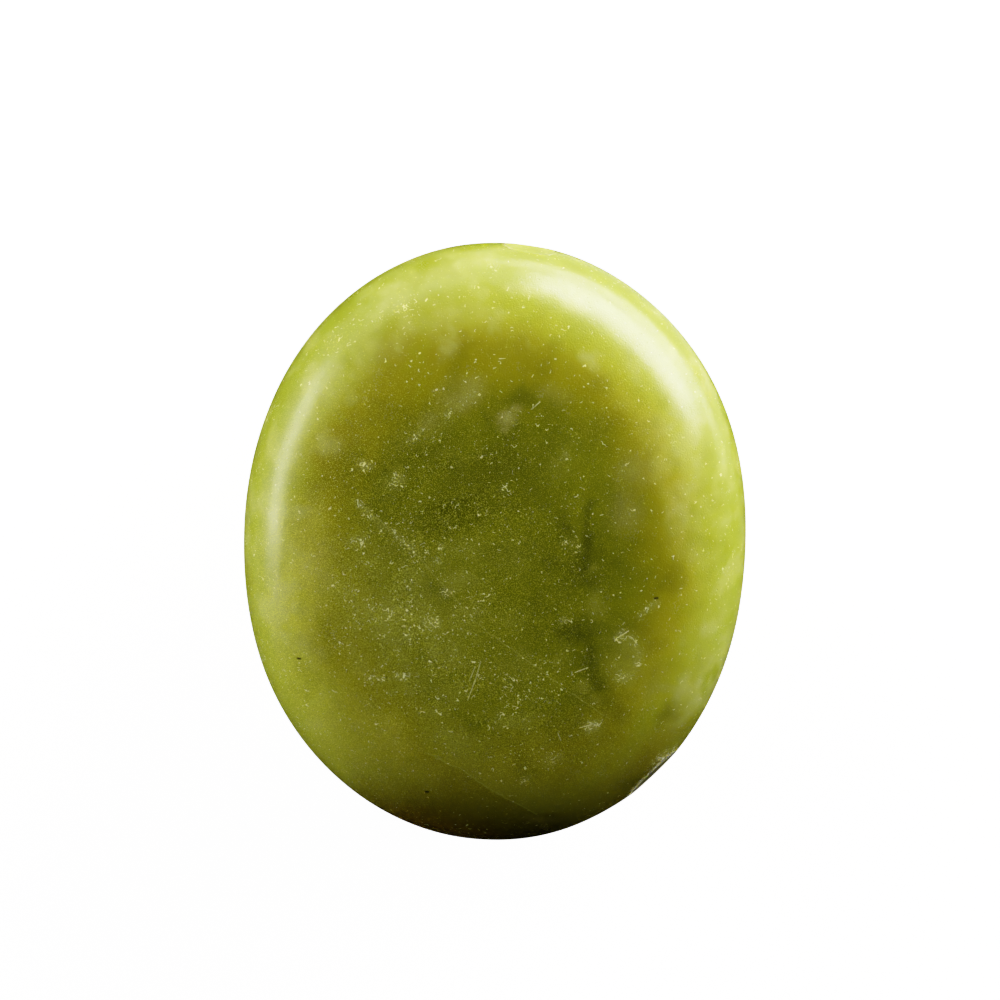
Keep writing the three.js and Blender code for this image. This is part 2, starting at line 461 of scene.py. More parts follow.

# %% [markdown]
# Other changes of colour run along the rim. Such a zone has a direction in degrees from +X, how many degrees
# it spreads each way, the share of the outline where it is strongest, how far it spreads in or out as a
# share, and its strength.

# %% Zones along the rim
# Painted glow: these zones make the left and lower left of the rim lighter, for light from the upper right that comes
# through the stone.
GLOW_THROUGH_STONE_ZONES = {
    "left": (185, 15, 0.74, 0.10, 0.55),
    "lower_left": (224, 18, 0.83, 0.11, 0.52),
    "low": (244, 12, 0.75, 0.08, 0.35),
}
# Milky cloud in the stone along the rim. One zone, left_outer at the very edge of the left rim, is a painted reflection
# that lightens the edge.
MILKY_AND_EDGE_REFLECTION_ZONES = {
    "right": (14, 20, 0.83, 0.08, 0.28),
    "right_outer": (10, 28, 1.0, 0.03, 0.40),
    "right_edge": (334, 10, 0.94, 0.05, 0.62),
    "upper_right": (26, 16, 0.74, 0.06, 0.22),
    "upper_left": (132, 18, 0.87, 0.05, 0.34),
    "left": (186, 17, 0.80, 0.08, 0.45),
    "left_outer": (176, 14, 0.97, 0.05, 0.35),
    "far_end": (100, 18, 0.98, 0.06, 0.40),
    "far_inner": (100, 14, 0.84, 0.05, 0.22),
}
GOLD_ZONES = {
    "left": (206, 36, 0.60, 0.12, 0.52),
    "low": (248, 18, 0.70, 0.08, 0.55),
    "lower_right": (332, 20, 0.67, 0.07, 0.42),
    "upper_right": (26, 24, 0.73, 0.05, 0.40),
}
OCHRE_ZONES = {
    "far_end": (96, 28, 0.71, 0.07, 0.60),
    "far_left": (112, 18, 0.79, 0.10, 0.62),
    "far_left_inner": (117, 12, 0.765, 0.07, 0.40),
    "upper_left": (142, 24, 0.73, 0.09, 0.84),
    "left": (163, 10, 0.76, 0.06, 0.30),
    "lower_right": (311, 16, 0.89, 0.08, 0.76),
    "low": (268, 26, 0.80, 0.08, 0.30),
    "low_inner": (290, 20, 0.67, 0.10, 0.32),
    "right": (8, 16, 0.65, 0.05, 0.12),
    "far_right": (72, 14, 0.70, 0.08, 0.34),
    "upper_right": (42, 20, 0.64, 0.05, 0.22),
}
# The near end, and the lower right beside it, are darker and browner: partly the stone's own brown, partly painted
# shade for the end that faces away from the light.
BROWN_AND_SHADE_ZONES = {
    "low_end": (268, 28, 1.0, 0.235, 1.0),
    "low_left_end": (252, 15, 1.0, 0.17, 1.0),
    "lower_right": (303, 16, 1.0, 0.14, 0.72),
}
CRUSHED_LIPS = {
    "far_end_notch": (87.8, 1.2, 1.0),
    "far_end_right": (80.8, 1.5, 0.45),
    "long_flake": (-59.0, 5.5, 3.6),
    "long_flake_end": (-51.5, 2.4, 6.5),
}
LONG_FLAKE_DIRECTION = -57
print(f"{len(GLOW_THROUGH_STONE_ZONES) + len(GOLD_ZONES) + len(OCHRE_ZONES) + len(BROWN_AND_SHADE_ZONES)} zones along the rim")

# %% [markdown]
# A natural patch has a ragged edge. Smooth noise shifts the place before the oval is measured, and that
# makes the edge wander. The patches fade out over the shoulder of the upper face. The underside, which is
# rarely seen, gets broad mottling from noise alone.

# %% Keep the broad markings on the mesh
def fractal(points, size, octaves=3):
    """Smooth noise from about -1 to 1, with broad waves of a size in millimetres and finer ones on them."""
    return np.array([noise.fractal(Vector(point) / size, 1.0, 2.0, octaves) for point in points])


def wander(points, size, shift):
    """The points, shifted by up to about the given number of millimetres."""
    return points + shift * np.array([noise.noise_vector(Vector(point) / size) for point in points])


def smooth(values, start, end):
    """Goes smoothly from 0 to 1 while the values go from start to end."""
    part = np.clip((values - start) / (end - start), 0, 1)
    return part * part * (3 - 2 * part)


def patch_mask(points, patches):
    """The strongest of the patches at every point."""
    mask = np.zeros(len(points))
    for x, y, half_length, half_width, turn, strength in patches.values():
        c, s = math.cos(math.radians(turn)), math.sin(math.radians(turn))
        along = (points[:, 0] - x) * c + (points[:, 1] - y) * s
        across = (points[:, 1] - y) * c - (points[:, 0] - x) * s
        mask = np.maximum(mask, strength * smooth(np.hypot(along / half_length, across / half_width), 1.15, 0))
    return mask


def stroke_mask(points, line, half_width):
    """1 on a bent line in plan, fading out to its half width."""
    gap = np.full(len(points), FAR_FROM_LIP)
    for start, end in zip(line, line[1:]):
        start, along = np.array(start), np.array(end) - np.array(start)
        away = points[:, :2] - start
        covered = np.clip(away @ along / (along @ along), 0, 1)
        gap = np.minimum(gap, np.linalg.norm(away - covered[:, None] * along, axis=1))
    return smooth(gap / half_width, 1.5, 0.0)


def beside_line(points, line, reach):
    """1 close to a bent line in plan, on its lower side, fading out over the reach. A reach below 0 goes up."""
    xs, ys = zip(*line)
    depth = (np.interp(points[:, 0], xs, ys) - points[:, 1]) * math.copysign(1, reach)
    ends = smooth(points[:, 0], xs[0] - 1.5, xs[0] + 1.5) * smooth(points[:, 0], xs[-1] + 4, xs[-1])
    return smooth(depth, -0.1, 0.25) * smooth(depth, abs(reach), 0) * ends


def by_direction(directions, spots):
    """How strong the nearest of some spots on the outline is, for every direction in degrees."""
    return np.max([strength * np.exp(-(((directions - at + 180) % 360 - 180) / spread) ** 2)
                   for at, spread, strength in spots.values()], axis=0)


def zone_mask(directions, shares, zones):
    """How much of any zone there is at every point: what one leaves is open to the next."""
    left = np.ones(len(shares))
    for direction, spread, share, share_spread, strength in zones.values():
        turned_by = (directions - direction + 180) % 360 - 180
        left *= 1 - strength * np.exp(-((turned_by / spread) ** 2) - ((shares - share) / share_spread) ** 2)
    return 1 - left


RING_CLOUDS_APART = (40, 0, 0)
skin = read_points(cut_stone) / MM
ragged = wander(wander(skin, 5.0, 1.2), 1.6, 0.7)
upper = smooth(skin[:, 2], 8, 12)
LOW_CRACK = [(-6.7, -18.5), (-4.4, -19.7), (-3.4, -20.1), (-0.9, -22.1), (1.3, -23.5), (4.1, -25.4)]
GRAINY_FIELDS = {"left_half": (-10, -4, 26, 20, 70, 1.0), "low": (2, -16, 14, 10, 0, 0.6)}
SMOOTH_FIELDS = {"right_rim": (22, 2, 28, 10, 90, 1.0), "far_end": (0, 25, 24, 10, 0, 1.0),
                 "low_end": (0, -28, 22, 8, 0, 0.8)}
plan_angle = np.arctan2(skin[:, 1], skin[:, 0])
share_of_outline = np.hypot(skin[:, 0], skin[:, 1]) / outline_radius(plan_angle)
broad, fine = fractal(skin, 9.0), fractal(skin, 3.0, 4)
inside_rim = 1 - 0.8 * smooth(share_of_outline, 0.7, 0.95)
towards_rim = share_of_outline + (0.045 * broad + 0.02 * fine) * inside_rim
directions = np.degrees(plan_angle) + 9 * broad
keep_on_mesh(cut_stone, "towards_rim", towards_rim)
keep_on_mesh(cut_stone, "pale", zone_mask(directions, towards_rim, GLOW_THROUGH_STONE_ZONES) * upper)
milky_and_edge_reflection = zone_mask(directions, towards_rim, MILKY_AND_EDGE_REFLECTION_ZONES) * upper
keep_on_mesh(cut_stone, "milky_and_edge_reflection", np.clip(milky_and_edge_reflection * (1 + 1.4 * fractal(skin, 2.4, 4)), 0, 1))
keep_on_mesh(cut_stone, "gold", zone_mask(directions, towards_rim, GOLD_ZONES) * upper)
keep_on_mesh(cut_stone, "ochre", zone_mask(directions, towards_rim, OCHRE_ZONES) * upper)
brown_and_shade = zone_mask(directions, share_of_outline, BROWN_AND_SHADE_ZONES)
keep_on_mesh(cut_stone, "brown_and_shade", brown_and_shade)
# Below the low crack the stone is darker: partly brown in the crack, partly painted shade behind it.
keep_on_mesh(cut_stone, "below_crack_shade", beside_line(skin, LOW_CRACK, 6) * upper)
keep_on_mesh(cut_stone, "above_crack", beside_line(skin, LOW_CRACK, -5) * upper)
curly = wander(skin, 1.4, 0.3)
bent = wander(skin, 2.6, 0.22)
strokes = [strength * stroke_mask(bent, line, half_width) for half_width, strength, line in DARK_STROKES.values()]
dark = np.maximum(patch_mask(ragged, DARK_PATCHES), np.max(strokes, axis=0))
keep_on_mesh(cut_stone, "dark_patches", dark * upper)
keep_on_mesh(cut_stone, "sage_clouds", patch_mask(ragged, SAGE_CLOUDS) * upper * (0.8 + 0.5 * fine))
keep_on_mesh(cut_stone, "beige_clouds", patch_mask(curly, BEIGE_CLOUDS) * upper * (0.9 + 0.7 * fine))
keep_on_mesh(cut_stone, "mottling", fractal(skin, 3.2, 5) * inside_rim * (1 - brown_and_shade))
in_ring = smooth(share_of_outline, 0.66, 0.78)
above_low_end = smooth(skin[:, 1], -22, -10)
ring_clouds = fractal(skin + RING_CLOUDS_APART, 3.4, 5) * in_ring * above_low_end
keep_on_mesh(cut_stone, "ring_clouds", ring_clouds)
chains = np.max([stroke_mask(curly, line, 0.6) for line in GRAIN_CHAINS], axis=0)
sparkle = np.maximum(patch_mask(wander(skin, 1.0, 0.5), BRUISES), 0.6 * chains)
keep_on_mesh(cut_stone, "sparkle", sparkle * upper + 0.25 * fine)
grainy = np.minimum(1, 1.7 * patch_mask(skin, GRAINY_FIELDS)) - patch_mask(skin, SMOOTH_FIELDS)
keep_on_mesh(cut_stone, "graininess", 0.35 + 0.65 * grainy)
widest_crush = 1 + 6 * smooth(skin[:, 2], 11.0, 12.6)
keep_on_mesh(cut_stone, "crushed", np.minimum(by_direction(np.degrees(plan_angle), CRUSHED_LIPS), widest_crush))
# Where the long flake is, so that the broken finish can paint shade on its scar.
from_long_flake = np.degrees(plan_angle) - LONG_FLAKE_DIRECTION
keep_on_mesh(cut_stone, "long_flake", np.exp(-((from_long_flake / 14) ** 2)))
print(f"{len(skin)} points carry the markings")

# %% [markdown]
# The paint is made of shader nodes. These short helpers add one node each, and link or set its inputs.
# A value that is another node's output is linked, and anything else is set on the socket.

# %% Helpers for nodes
COLOUR, VALUE, VECTOR = "NodeSocketColor", "NodeSocketFloat", "NodeSocketVector"


def put(tree, kind, sockets=None, **settings):
    """Adds a node with its settings, and fills the sockets that are named or numbered."""
    node = tree.nodes.new(kind)
    for name, value in settings.items():
        setattr(node, name, value)
    for name, value in (sockets or {}).items():
        if isinstance(value, bpy.types.NodeSocket):
            tree.links.new(value, node.inputs[name])
        else:
            node.inputs[name].default_value = value
    return node


def maths(tree, operation, a, b=0.0, c=0.0, clamp=False):
    sockets = {0: a, 1: b, 2: c}
    return put(tree, "ShaderNodeMath", sockets, operation=operation, use_clamp=clamp).outputs[0]


def vectors(tree, operation, a, b=(0, 0, 0), scale=1.0):
    node = put(tree, "ShaderNodeVectorMath", {0: a, 1: b}, operation=operation)
    if operation == "SCALE":
        if isinstance(scale, bpy.types.NodeSocket):
            tree.links.new(scale, node.inputs["Scale"])
        else:
            node.inputs["Scale"].default_value = scale
    return node.outputs["Value" if operation in ("LENGTH", "DOT_PRODUCT") else "Vector"]


def ease(tree, value, start, end, low=0.0, high=1.0):
    """Goes smoothly from low to high while the value goes from start to end."""
    sockets = {"Value": value, "From Min": start, "From Max": end, "To Min": low, "To Max": high}
    return put(tree, "ShaderNodeMapRange", sockets, interpolation_type="SMOOTHSTEP").outputs["Result"]


def mix(tree, mask, a, b, blend="MIX"):
    """Goes from colour a to colour b where the mask goes from 0 to 1."""
    node = put(tree, "ShaderNodeMix", data_type="RGBA", blend_type=blend)
    for socket, value in ((node.inputs[0], mask), (node.inputs[6], a), (node.inputs[7], b)):
        if isinstance(value, bpy.types.NodeSocket):
            tree.links.new(value, socket)
        else:
            socket.default_value = (*value, 1) if isinstance(value, tuple) else value
    return node.outputs[2]


def ramp(tree, value, stops):
    """A colour for every value, from a list of values and colours with smooth steps between them."""
    node = put(tree, "ShaderNodeValToRGB", {0: value})
    for start, colour in stops[1:-1]:
        node.color_ramp.elements.new(start)
    for element, (start, colour) in zip(node.color_ramp.elements, stops):
        element.position = start
        element.color = (*colour, 1)
    return node.outputs["Color"]


def new_group(name, inputs, outputs):
    """An empty node group. Gives its tree, the sockets to read from and the sockets to fill."""
    tree = bpy.data.node_groups.new(name, "ShaderNodeTree")
    for socket_name, kind, start in inputs:
        socket = tree.interface.new_socket(socket_name, in_out="INPUT", socket_type=kind)
        socket.default_value = start
    for socket_name, kind in outputs:
        tree.interface.new_socket(socket_name, in_out="OUTPUT", socket_type=kind)
    return tree, tree.nodes.new("NodeGroupInput").outputs, tree.nodes.new("NodeGroupOutput").inputs


def use_group(tree, group, **sockets):
    """Places a group in a tree. Underscores in the names of its sockets stand for spaces."""
    node = tree.nodes.new("ShaderNodeGroup")
    node.node_tree = group
    for name, value in sockets.items():
        socket = node.inputs[name.replace("_", " ")]
        if isinstance(value, bpy.types.NodeSocket):
            tree.links.new(value, socket)
        else:
            socket.default_value = value
    return node.outputs


print("helpers ready")

# %% [markdown]
# What is finer than a millimetre is made by nodes, which have no mesh to limit them. They all start from
# the place on the stone in millimetres. It comes from the object's own coordinates, so that a marking runs
# through the stone like a real one.

# %% Where on the stone
def stone_place_group():
    tree, _, out = new_group("Place on the stone", [], [("Millimetres", VECTOR), ("Plan", VECTOR), ("Height", VALUE)])
    place = put(tree, "ShaderNodeTexCoord").outputs["Object"]
    millimetres = vectors(tree, "SCALE", place, scale=1 / MM)
    tree.links.new(millimetres, out["Millimetres"])
    tree.links.new(vectors(tree, "MULTIPLY", millimetres, (1, 1, 0)), out["Plan"])
    tree.links.new(put(tree, "ShaderNodeSeparateXYZ", {0: millimetres}).outputs[2], out["Height"])
    return tree


PLACE = stone_place_group()
print(f"{PLACE.name}: {len(PLACE.nodes)} nodes")

# %% [markdown]
# Scratches and healed cracks are thin lines. The group measures the distance from a straight line in the
# plan, given by its start, its direction and its length. A crack with bends is a few lines one after another.

# %% A thin line
def thin_line_group():
    tree, given, out = new_group(
        "Thin line",
        [("Place", VECTOR, (0, 0, 0)), ("Start", VECTOR, (0, 0, 0)), ("Direction", VECTOR, (1, 0, 0)),
         ("Length", VALUE, 1.0), ("Half Width", VALUE, 0.1)],
        [("Mask", VALUE)],
    )
    away = vectors(tree, "SUBTRACT", given["Place"], given["Start"])
    along = vectors(tree, "DOT_PRODUCT", away, given["Direction"])
    covered = maths(tree, "MINIMUM", maths(tree, "MAXIMUM", along, 0.0), given["Length"])
    nearest = vectors(tree, "SCALE", given["Direction"], scale=covered)
    gap = vectors(tree, "LENGTH", vectors(tree, "SUBTRACT", away, nearest))
    tree.links.new(ease(tree, gap, given["Half Width"], 0.0), out["Mask"])
    return tree


THIN_LINE = thin_line_group()
print(f"{THIN_LINE.name}: {len(THIN_LINE.nodes)} nodes")

# %% [markdown]
# Serpentine is full of tiny grains and threads. They are the highest peaks of a fine noise: only what rises
# above a threshold shows, so their shapes and gaps are all different. A lower threshold makes a crowd of
# them. Stretching the place before the noise reads it makes threads of the grains.

# %% Grains
def grains_group():
    tree, given, out = new_group(
        "Grains",
        [("Place", VECTOR, (0, 0, 0)), ("Size", VALUE, 0.3), ("Stretch", VALUE, 1.0), ("Turn", VALUE, 0.0),
         ("Threshold", VALUE, 0.7)],
        [("Mask", VALUE)],
    )
    lined_up = put(tree, "ShaderNodeVectorRotate", {"Vector": given["Place"], "Angle": given["Turn"]},
                   rotation_type="Z_AXIS")
    squeeze = put(tree, "ShaderNodeCombineXYZ", {0: maths(tree, "DIVIDE", 1.0, given["Stretch"]), 1: 1.0, 2: 1.0})
    ready = vectors(tree, "MULTIPLY", lined_up.outputs[0], squeeze.outputs[0])
    often = maths(tree, "DIVIDE", 1.0, given["Size"])
    peaks = put(tree, "ShaderNodeTexNoise", {"Vector": ready, "Scale": often, "Detail": 1.0}).outputs["Fac"]
    tree.links.new(ease(tree, peaks, given["Threshold"], maths(tree, "ADD", given["Threshold"], 0.04)), out["Mask"])
    return tree


GRAINS = grains_group()
print(f"{GRAINS.name}: {len(GRAINS.nodes)} nodes")

# %% [markdown]
# A bruise is a scribble of tiny white threads. A contour line of smooth noise is such a thread: it is thin
# where the noise is close to one value, and it curls. A second noise lets only short pieces of it show.

# %% Squiggles
def squiggles_group():
    tree, given, out = new_group(
        "Squiggles",
        [("Place", VECTOR, (0, 0, 0)), ("Size", VALUE, 0.6), ("Width", VALUE, 0.07), ("Threshold", VALUE, 0.7)],
        [("Mask", VALUE)],
    )
    often = maths(tree, "DIVIDE", 1.0, given["Size"])
    level = put(tree, "ShaderNodeTexNoise", {"Vector": given["Place"], "Scale": often, "Detail": 0.0}).outputs["Fac"]
    from_contour = maths(tree, "ABSOLUTE", maths(tree, "SUBTRACT", level, 0.5))
    elsewhere = vectors(tree, "ADD", given["Place"], (31.0, 17.0, 5.0))
    gate = put(tree, "ShaderNodeTexNoise", {"Vector": elsewhere, "Scale": often, "Detail": 0.0}).outputs["Fac"]
    shown = ease(tree, gate, given["Threshold"], maths(tree, "ADD", given["Threshold"], 0.06))
    tree.links.new(maths(tree, "MULTIPLY", ease(tree, from_contour, given["Width"], 0.0), shown), out["Mask"])
    return tree


SQUIGGLES = squiggles_group()
print(f"{SQUIGGLES.name}: {len(SQUIGGLES.nodes)} nodes")

# %% [markdown]
# The fine markings that have a place of their own: two healed cracks, some scratches, three black specks.
# All are in millimetres on the plan.

# %% Cracks, scratches and specks
HEALED_CRACKS = {
    "long_crack": (0.42, 0.10, [(-13.1, 6.9), (-7.9, 2.1), (-1.8, -5.2), (4.4, -10.0), (11.0, -15.0)]),
    "low_crack": (0.60, 0.12, LOW_CRACK),
    "left_line": (0.25, 0.12, [(-17.4, -10.6), (-14.8, -14.2)]),
}
SCRATCHES = [
    ((3.5, 15.8), (4.3, 16.5), 0.7),
    ((-1.35, -9.1), (-1.95, -11.3), 0.5),
    ((-1.9, -11.0), (-2.6, -13.0), 0.5),
    ((-1.9, -9.6), (-2.4, -11.0), 0.4),
    ((11.75, -6.8), (12.85, -6.1), 0.9),
    ((7.75, -10.2), (8.95, -9.75), 0.8),
    ((8.2, -15.9), (9.4, -15.6), 0.8),
    ((9.0, -15.3), (10.2, -15.8), 0.8),
    ((13.2, -6.8), (13.7, -7.5), 0.6),
    ((-9.85, -4.0), (-9.9, -4.5), 0.8),
    ((-9.9, -4.5), (-10.3, -4.9), 0.7),
    ((6.1, -16.4), (6.4, -17.2), 0.5),
]
BLACK_SPECKS = [(-18.9, -9.3), (15.5, -2.9), (-6.6, -22.8)]
print(f"{len(HEALED_CRACKS)} cracks, {len(SCRATCHES)} scratches, {len(BLACK_SPECKS)} black specks")

# %% [markdown]
# The colour of the stone is one group, because polished and broken stone share it. It starts from
# deep olive in the thick middle. Towards the rim the stone gets thinner, light gets through, and the colour
# turns to gold and then to a light yellow-green. Then come the broad markings from the mesh, among them a
# painted glow, painted shade and a painted reflection along the rim, the cracks, and the tiny grains on top.

# %% Colours of the stone
FROM_MIDDLE_TO_RIM = [
    (0.00, (0.191, 0.209, 0.0036)),
    (0.50, (0.195, 0.209, 0.0036)),
    (0.60, (0.249, 0.244, 0.0045)),
    (0.67, (0.325, 0.305, 0.006)),
    (0.74, (0.420, 0.406, 0.018)),
    (0.80, (0.455, 0.478, 0.033)),
    (0.86, (0.430, 0.472, 0.043)),
    (0.92, (0.396, 0.452, 0.045)),
    (1.00, (0.370, 0.430, 0.032)),
]
PAINTED_GLOW_GREEN = (0.80, 0.82, 0.11)
OLIVE_GOLD = (0.51, 0.468, 0.030)
OCHRE = (0.285, 0.255, 0.008)
MILKY_GREEN = (0.64, 0.66, 0.20)
DEEP_LIME = (0.33, 0.36, 0.012)
LOW_END_BROWN_AND_SHADE = (0.118, 0.060, 0.0005)
CRACK_BROWN_AND_SHADE = (0.150, 0.125, 0.0005)
CRACK_PALE = (0.52, 0.53, 0.10)
DARK_GREEN = (0.062, 0.078, 0.001)
SAGE = (0.38, 0.39, 0.050)
BEIGE = (0.50, 0.47, 0.13)
LIGHT_OLIVE = (0.30, 0.315, 0.008)
GRAIN_SHADE = (0.42, 0.44, 0.20)
GRAIN_PALE = (0.90, 0.88, 0.13)
GRAIN_CREAM = (0.97, 0.96, 0.38)
BRUISE_HAZE = (0.62, 0.63, 0.22)
SPECK_BLACK = (0.012, 0.010, 0.004)
print(f"{len(FROM_MIDDLE_TO_RIM)} tones from the middle to the rim, nine colours of markings")


# %% The colour group
def strongest(tree, masks):
    """The highest of many masks at every place."""
    highest_mask = masks[0]
    for mask in masks[1:]:
        highest_mask = maths(tree, "MAXIMUM", highest_mask, mask)
    return highest_mask


def line_mask(tree, place, start, end, half_width):
    along = Vector(end) - Vector(start)
    line = use_group(tree, THIN_LINE, Place=place, Start=(*start, 0), Direction=(*along.normalized(), 0),
                     Length=along.length, Half_Width=half_width)
    return line["Mask"]


def on_mesh(tree, name):
    return put(tree, "ShaderNodeAttribute", attribute_name=name).outputs["Fac"]


def wandering(tree, place, size, shift, detail=2.0):
    """The place, shifted by up to about half of shift in every direction, by noise of a size in mm."""
    drift = put(tree, "ShaderNodeTexNoise", {"Vector": place, "Scale": 1 / size, "Detail": detail})
    drift = vectors(tree, "SUBTRACT", drift.outputs["Color"], (0.5, 0.5, 0.5))
    return vectors(tree, "ADD", place, vectors(tree, "SCALE", drift, scale=shift))


def stone_colour_group():
    tree, given, out = new_group("Serpentine colour", [("Powder", VALUE, 0.0)], [("Color", COLOUR)])
    stone_place = use_group(tree, PLACE)
    place, plan = stone_place["Millimetres"], stone_place["Plan"]
    upper_face = ease(tree, stone_place["Height"], 8.0, 12.0)
    curled = wandering(tree, place, 0.6, 0.45, detail=1.0)

    # From the thick middle to the thin rim, and the zones along the rim.
    colour = ramp(tree, on_mesh(tree, "towards_rim"), FROM_MIDDLE_TO_RIM)
    colour = mix(tree, on_mesh(tree, "ochre"), colour, OCHRE)
    colour = mix(tree, on_mesh(tree, "gold"), colour, OLIVE_GOLD)
    # Painted glow at the left of the rim, for light that comes through the stone.
    colour = mix(tree, on_mesh(tree, "pale"), colour, PAINTED_GLOW_GREEN)
    # Milky cloud, and at the very edge of the left rim a painted reflection.
    colour = mix(tree, on_mesh(tree, "milky_and_edge_reflection"), colour, MILKY_GREEN)
    # Painted shade at the near end, together with the stone's own brown there.
    colour = mix(tree, on_mesh(tree, "brown_and_shade"), colour, LOW_END_BROWN_AND_SHADE)
    # Below the low crack: brown in the crack and painted shade.
    colour = mix(tree, maths(tree, "MULTIPLY", on_mesh(tree, "below_crack_shade"), 0.26), colour, CRACK_BROWN_AND_SHADE)
    colour = mix(tree, maths(tree, "MULTIPLY", on_mesh(tree, "above_crack"), 0.38), colour, SAGE)

    # Broad markings.
    mottling = on_mesh(tree, "mottling")
    colour = mix(tree, ease(tree, mottling, 0.0, -0.8, 0.0, 0.22), colour, DARK_GREEN)
    colour = mix(tree, ease(tree, mottling, 0.0, 0.8, 0.0, 0.30), colour, LIGHT_OLIVE)
    ring_clouds = on_mesh(tree, "ring_clouds")
    colour = mix(tree, ease(tree, ring_clouds, 0.05, 0.7, 0.0, 0.40), colour, MILKY_GREEN)
    colour = mix(tree, ease(tree, ring_clouds, -0.05, -0.7, 0.0, 0.40), colour, DEEP_LIME)
    colour = mix(tree, on_mesh(tree, "dark_patches"), colour, DARK_GREEN)
    colour = mix(tree, on_mesh(tree, "sage_clouds"), colour, SAGE)
    colour = mix(tree, on_mesh(tree, "beige_clouds"), colour, BEIGE)

    # The grain, dark and light, and healed cracks, which run through the whole stone.
    grain = put(tree, "ShaderNodeTexNoise", {"Vector": place, "Scale": 13.0, "Detail": 0.0})
    grain = grain.outputs["Fac"]
    graininess = on_mesh(tree, "graininess")
    in_ring = ease(tree, on_mesh(tree, "towards_rim"), 0.58, 0.72)
    darkest = maths(tree, "SUBTRACT", 1.0, maths(tree, "MULTIPLY", in_ring, 0.5))
    lightest = maths(tree, "ADD", 0.56, maths(tree, "MULTIPLY", in_ring, 0.26))
    dark_grain = maths(tree, "MULTIPLY", ease(tree, grain, 0.50, 0.27, 0.0, 0.85), graininess)
    dark_grain = maths(tree, "MULTIPLY", dark_grain, darkest)
    light_grain = maths(tree, "MULTIPLY", ease(tree, grain, 0.55, 0.77, 0.0, 1.0), graininess)
    light_grain = maths(tree, "MULTIPLY", light_grain, lightest)
    colour = mix(tree, dark_grain, colour, GRAIN_SHADE, blend="MULTIPLY")
    colour = mix(tree, light_grain, colour, GRAIN_PALE)
    lines = []
    crack_place = vectors(tree, "MULTIPLY", wandering(tree, place, 1.5, 0.5), (1, 1, 0))
    for strength, half_width, points in HEALED_CRACKS.values():
        for start, end in zip(points, points[1:]):
            line = line_mask(tree, crack_place, start, end, half_width)
            lines.append(maths(tree, "MULTIPLY", line, strength))
    patchy = ease(tree, grain, 0.30, 0.60, 0.35, 1.3)
    colour = mix(tree, maths(tree, "MULTIPLY", strongest(tree, lines), patchy, clamp=True), colour, CRACK_PALE)

    # Tiny pale grains and threads, crowded where the stone sparkles.
    sparkle = on_mesh(tree, "sparkle")
    colour = mix(tree, ease(tree, sparkle, 0.1, 1.0, 0.0, 0.18), colour, BRUISE_HAZE)
    fine = use_group(tree, GRAINS, Place=place, Size=0.17, Threshold=ease(tree, sparkle, -0.2, 0.8, 0.73, 0.60))
    colour = mix(tree, maths(tree, "MULTIPLY", fine["Mask"], 0.5), colour, GRAIN_PALE)
    bright = use_group(tree, GRAINS, Place=curled, Size=0.21, Stretch=1.3, Turn=0.8,
                       Threshold=ease(tree, sparkle, -0.2, 1.0, 0.742, 0.625))
    dots = maths(tree, "MULTIPLY", bright["Mask"], ease(tree, graininess, 0.1, 0.9, 0.25, 1.0))
    threads = use_group(tree, SQUIGGLES, Place=place, Size=0.42, Width=0.065,
                        Threshold=ease(tree, sparkle, 0.0, 1.0, 0.72, 0.41))
    scratches = [maths(tree, "MULTIPLY", line_mask(tree, plan, start, end, 0.09), strength)
                 for start, end, strength in SCRATCHES]
    scratched = maths(tree, "MULTIPLY", strongest(tree, scratches), upper_face)
    scratched = maths(tree, "MULTIPLY", scratched, patchy, clamp=True)
    white = strongest(tree, [dots, threads["Mask"], scratched])
    colour = mix(tree, white, colour, GRAIN_CREAM)

    # A few black specks, and the powdery look of broken stone.
    specks = [line_mask(tree, plan, (x - 0.12, y), (x + 0.12, y), 0.2) for x, y in BLACK_SPECKS]
    colour = mix(tree, maths(tree, "MULTIPLY", strongest(tree, specks), upper_face), colour, SPECK_BLACK)
    colour = mix(tree, given["Powder"], colour, GRAIN_CREAM)
    tree.links.new(colour, out["Color"])
    return tree


STONE_COLOUR = stone_colour_group()
print(f"{STONE_COLOUR.name}: {len(STONE_COLOUR.nodes)} nodes")

# %% [markdown]
# A satin polish isn't a mirror: it is covered with pits far too small to see one by one, and it is a little
# uneven in gloss. Broken stone has the same kind of surface, only coarser and duller, so both materials
# use this group with their own values. The height is in millimetres.

# %% The satin group
def satin_group():
    tree, given, out = new_group(
        "Satin surface",
        [("Unevenness Size", VALUE, 0.2), ("Unevenness", VALUE, 0.02), ("Pit Depth", VALUE, 0.03),
         ("Dullest", VALUE, 0.4), ("Glossiest", VALUE, 0.3)],
        [("Height", VALUE), ("Roughness", VALUE)],
    )
    place = use_group(tree, PLACE)["Millimetres"]
    often = maths(tree, "DIVIDE", 1.0, given["Unevenness Size"])
    fine = put(tree, "ShaderNodeTexNoise", {"Vector": place, "Scale": often, "Detail": 2.0}).outputs["Fac"]
    pits = use_group(tree, GRAINS, Place=place, Size=0.24, Threshold=0.70)["Mask"]
    height = maths(tree, "MULTIPLY", fine, given["Unevenness"])
    height = maths(tree, "SUBTRACT", height, maths(tree, "MULTIPLY", pits, given["Pit Depth"]))
    gloss = put(tree, "ShaderNodeTexNoise", {"Vector": place, "Scale": 0.5, "Detail": 4.0}).outputs["Fac"]
    both = maths(tree, "ADD", maths(tree, "MULTIPLY", fine, 0.4), maths(tree, "MULTIPLY", gloss, 0.6))
    tree.links.new(height, out["Height"])
    tree.links.new(ease(tree, both, 0.3, 0.7, given["Glossiest"], given["Dullest"]), out["Roughness"])
    return tree


SATIN = satin_group()
print(f"{SATIN.name}: {len(SATIN.nodes)} nodes")

# %% [markdown]
# The crushed lip of a scar is the same on both sides of it. The group turns the distance that was kept on the
# mesh into a thin, broken, whitish line.

